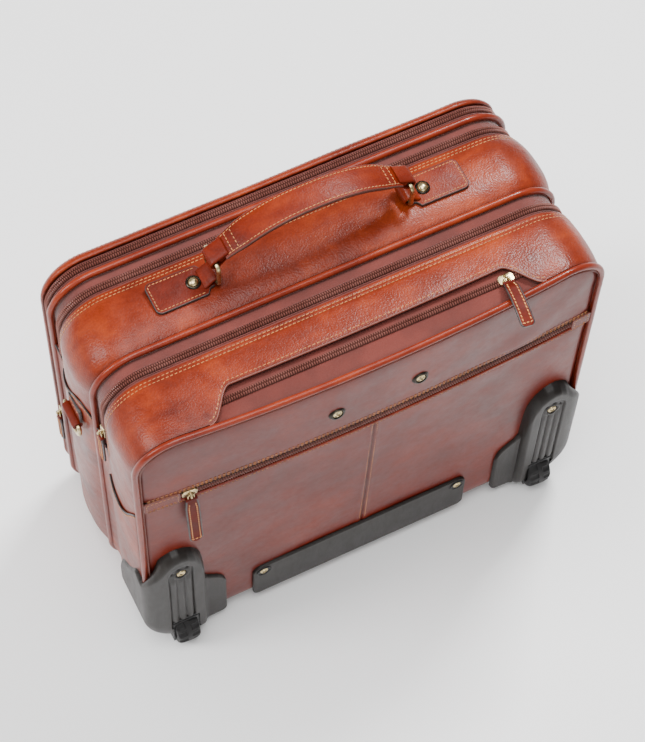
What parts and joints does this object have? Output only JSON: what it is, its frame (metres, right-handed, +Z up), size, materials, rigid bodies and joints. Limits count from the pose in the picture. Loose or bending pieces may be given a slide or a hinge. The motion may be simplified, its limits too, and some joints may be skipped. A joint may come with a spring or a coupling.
{
  "type": "rolling laptop case",
  "caption": "Leather laptop case on two rear wheels, with a telescopic trolley under a zipped slot, zipped sections, a ringed carry handle and side D-rings.",
  "frame": {"origin": "centre of the bounding box, on the floor under the wheels and front feet", "axes": "+Z up; +Y towards the wheel side, with the kick plate and the rear pocket; -Y towards the front pocket; +X across the case"},
  "size_m": [0.462, 0.2377, 0.462],
  "materials": {
    "leather": "cognac leather, fine grain, polished",
    "leather_trim": "cognac leather trim and piping, dark painted edges",
    "zip_tape": "maroon woven tape with a moulded coil",
    "lining": "padded woven lining on board",
    "antique_brass": "antique brass plating",
    "dark_plastic": "moulded nylon, fine satin texture",
    "trolley_tube": "anodised tube with moulded cross pieces",
    "wheel_rubber": "solid rubber",
    "stiffener": "board"
  },
  "bodies": {
    "rear_section": {"rear_panel_upper": "leather", "rear_pocket_panel": "leather", "rear_pocket_zip": "zip_tape", "rear_gusset": "leather", "rear_piping": "leather_trim", "slot_zip_rear": "zip_tape", "slot_zip_front": "zip_tape", "trolley_cover_panel": "lining", "laptop_sleeve": "lining", "zip_1_rear_tape": "zip_tape", "lower_gusset_rear": "leather", "base_board": "stiffener", "front_foot_left": "dark_plastic", "front_foot_right": "dark_plastic", "kick_plate": "dark_plastic", "wheel_housing_left": "dark_plastic", "wheel_housing_right": "dark_plastic", "housing_screw_left": "antique_brass", "housing_screw_right": "antique_brass", "trolley_outer_frame": "trolley_tube", "trolley_screw_left": "antique_brass", "trolley_screw_right": "antique_brass"},
    "trolley_lower": {"trolley_middle_frame": "trolley_tube"},
    "trolley_upper": {"trolley_inner_frame": "trolley_tube", "trolley_grip": "dark_plastic"},
    "button": {"release_button": "wheel_rubber"},
    "wheel_left": {"wheel_left": "wheel_rubber"},
    "wheel_right": {"wheel_right": "wheel_rubber"},
    "middle_section": {"middle_gusset": "leather", "middle_piping": "leather_trim", "middle_back_panel": "lining", "zip_1_middle_tape": "zip_tape", "zip_2_middle_tape": "zip_tape", "lower_gusset_middle": "leather", "handle_tab_left": "leather_trim", "handle_tab_right": "leather_trim", "handle_rivet_left": "antique_brass", "handle_rivet_right": "antique_brass", "side_loop_left": "leather_trim", "side_loop_right": "leather_trim"},
    "organiser_section": {"front_piping": "leather_trim", "organiser_panel": "lining", "zip_2_front_tape": "zip_tape", "zip_3_rear_tape": "zip_tape", "lower_gusset_front": "leather"},
    "front_pocket": {"front_panel": "leather", "zip_3_front_tape": "zip_tape"},
    "ring_left": {"handle_ring_left": "antique_brass"},
    "ring_right": {"handle_ring_right": "antique_brass"},
    "handle": {"carry_handle": "leather_trim"},
    "d_ring_left": {"d_ring_left": "antique_brass"},
    "d_ring_right": {"d_ring_right": "antique_brass"},
    "slot_slider": {"slot_slider": "antique_brass"},
    "slot_puller": {"slot_puller": "leather_trim"},
    "rear_slider": {"rear_slider": "antique_brass"},
    "rear_puller": {"rear_puller": "leather_trim"},
    "zip_1_slider": {"zip_1_slider": "antique_brass"},
    "zip_1_puller": {"zip_1_puller": "leather_trim"},
    "zip_3_slider": {"zip_3_slider": "antique_brass"},
    "zip_3_puller": {"zip_3_puller": "leather_trim"}
  },
  "joints": [
    {"name": "trolley_lower_slide", "type": "slide", "parent": "rear_section", "child": "trolley_lower", "axis": [0, 0, 1], "range_m": [0, 0.265], "deforming": ["slot_zip_rear", "slot_zip_front"]},
    {"name": "trolley_upper_slide", "type": "slide", "parent": "trolley_lower", "child": "trolley_upper", "axis": [0, 0, 1], "range_m": [0, 0.265]},
    {"name": "release_button_press", "type": "slide", "parent": "trolley_upper", "child": "button", "axis": [0, 0, -1], "range_m": [0, 0.0024], "stiffness_N_per_m": 400, "springref_m": -0.002},
    {"name": "wheel_left_spin", "type": "hinge", "parent": "rear_section", "child": "wheel_left", "pos_m": [0.184, 0.07885, 0.025], "axis": [1, 0, 0], "continuous": true},
    {"name": "wheel_right_spin", "type": "hinge", "parent": "rear_section", "child": "wheel_right", "pos_m": [-0.184, 0.07885, 0.025], "axis": [1, 0, 0], "continuous": true},
    {"name": "middle_section_open", "type": "hinge", "parent": "rear_section", "child": "middle_section", "pos_m": [0, -0.10715, 0.0135], "axis": [1, 0, 0], "range_deg": [0, 4]},
    {"name": "organiser_open", "type": "hinge", "parent": "middle_section", "child": "organiser_section", "pos_m": [0, -0.10715, 0.0135], "axis": [1, 0, 0], "range_deg": [0, 4]},
    {"name": "front_pocket_open", "type": "hinge", "parent": "organiser_section", "child": "front_pocket", "pos_m": [0, -0.10715, 0.0135], "axis": [1, 0, 0], "range_deg": [0, 12]},
    {"name": "handle_ring_left_swing", "type": "hinge", "parent": "middle_section", "child": "ring_left", "pos_m": [0.088, -0.03965, 0.4025], "axis": [0, 1, 0], "range_deg": [-35, 35]},
    {"name": "handle_ring_right_swing", "type": "hinge", "parent": "middle_section", "child": "ring_right", "pos_m": [-0.088, -0.03965, 0.4025], "axis": [0, 1, 0], "range_deg": [-35, 35]},
    {"name": "handle_swing", "type": "hinge", "parent": "ring_left", "child": "handle", "pos_m": [0.088, -0.03965, 0.4279], "axis": [0, 1, 0], "range_deg": [-35, 35]},
    {"name": "d_ring_left_swing", "type": "hinge", "parent": "middle_section", "child": "d_ring_left", "pos_m": [0.2262, -0.02915, 0.282], "axis": [0, 1, 0], "range_deg": [-90, 2]},
    {"name": "d_ring_right_swing", "type": "hinge", "parent": "middle_section", "child": "d_ring_right", "pos_m": [-0.2262, -0.02915, 0.282], "axis": [0, 1, 0], "range_deg": [-2, 90]},
    {"name": "slot_slider_run", "type": "slide", "parent": "rear_section", "child": "slot_slider", "axis": [1, 0, 0], "range_m": [0, 0.235]},
    {"name": "slot_puller_swing", "type": "hinge", "parent": "slot_slider", "child": "slot_puller", "pos_m": [-0.1196, 0.06705, 0.4004], "axis": [1, 0, 0], "range_deg": [0, 120]},
    {"name": "rear_slider_run", "type": "hinge", "parent": "rear_section", "child": "rear_slider", "pos_m": [0, -2.71727, 0.297], "axis": [0, 0, 1], "range_deg": [0, 7.2]},
    {"name": "rear_puller_swing", "type": "hinge", "parent": "rear_slider", "child": "rear_puller", "pos_m": [0.17021, 0.08893, 0.297], "axis": [0.9982, -0.0605, 0], "range_deg": [0, 110]},
    {"name": "zip_1_slider_run", "type": "slide", "parent": "rear_section", "child": "zip_1_slider", "axis": [0, 0, 1], "range_m": [0, 0.024]},
    {"name": "zip_1_puller_swing", "type": "hinge", "parent": "zip_1_slider", "child": "zip_1_puller", "pos_m": [0.2172, 0.01385, 0.319], "axis": [0, -1, 0], "range_deg": [0, 120]},
    {"name": "zip_3_slider_run", "type": "slide", "parent": "organiser_section", "child": "zip_3_slider", "axis": [0, 0, 1], "range_m": [0, 0.185]},
    {"name": "zip_3_puller_swing", "type": "hinge", "parent": "zip_3_slider", "child": "zip_3_puller", "pos_m": [0.2172, -0.10195, 0.148], "axis": [0, -1, 0], "range_deg": [0, 120]}
  ],
  "couplings": [
    {"joint": "trolley_upper_slide", "follows": "trolley_lower_slide", "ratio": 1},
    {"joint": "handle_ring_right_swing", "follows": "handle_ring_left_swing", "ratio": 1},
    {"joint": "handle_swing", "follows": "handle_ring_left_swing", "ratio": -1}
  ]
}
